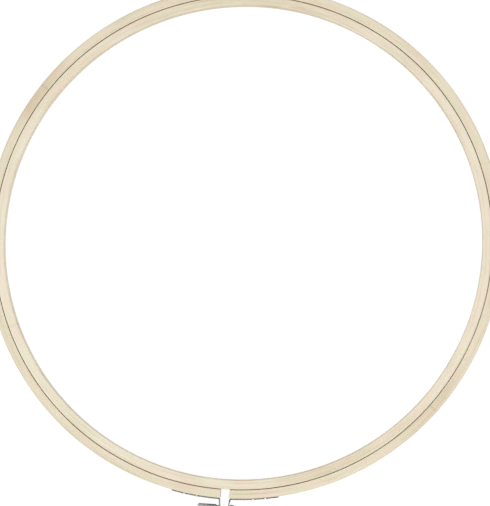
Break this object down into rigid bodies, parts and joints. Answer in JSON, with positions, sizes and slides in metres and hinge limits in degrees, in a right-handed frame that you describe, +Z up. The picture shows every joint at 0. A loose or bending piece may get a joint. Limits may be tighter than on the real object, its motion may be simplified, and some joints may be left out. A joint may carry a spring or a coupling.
{
  "type": "embroidery hoop",
  "caption": "Round embroidery hoop: a plain inner ring inside a split outer ring that a knurled thumb screw draws together at its steel ears.",
  "frame": {"origin": "on the surface the hoop lies on, under the middle of the whole object's box; the rings' own centre is 5.4 mm from it towards +Y", "axes": "+Z up through the hoop, out of its face; the split, its ears and the screw are at -Y; the screw lies along X with its knob at -X"},
  "size_m": [0.2608, 0.2702, 0.0095],
  "materials": {
    "inner_wood": "pale bare bamboo, sanded, fine grain along the ring",
    "outer_wood": "pale bare bamboo, sanded, with darker node patches",
    "bracket_steel": "thin pressed steel, dull nickel plating",
    "screw_steel": "turned steel, nickel plated",
    "pin_steel": "nickel-plated pin heads"
  },
  "bodies": {
    "outer": {"outer_ring": "outer_wood", "left_bracket": "bracket_steel", "left_bracket_pin_far": "pin_steel", "left_bracket_pin_near": "pin_steel"},
    "inner": {"inner_ring": "inner_wood"},
    "screw": {"thumb_screw": "screw_steel"},
    "right_end": {"right_bracket": "bracket_steel", "right_bracket_pin_far": "pin_steel", "right_bracket_pin_near": "pin_steel", "nut": "screw_steel"}
  },
  "joints": [
    {"name": "inner_lift", "type": "slide", "parent": "outer", "child": "inner", "axis": [0, 0, 1], "range_m": [0, 0.03]},
    {"name": "screw_turn", "type": "hinge", "parent": "outer", "child": "screw", "pos_m": [-0.00026, -0.1311, 0.00475], "axis": [-1, 0, 0], "range_deg": [0, 2880]},
    {"name": "split_open", "type": "hinge", "parent": "outer", "child": "right_end", "pos_m": [-0.00026, 0.1327, 0.00475], "axis": [0, 0, 1], "range_deg": [0, 1.22], "deforming": ["outer_ring"]}
  ],
  "couplings": [
    {"joint": "split_open", "follows": "screw_turn", "ratio": 0.00042231}
  ]
}
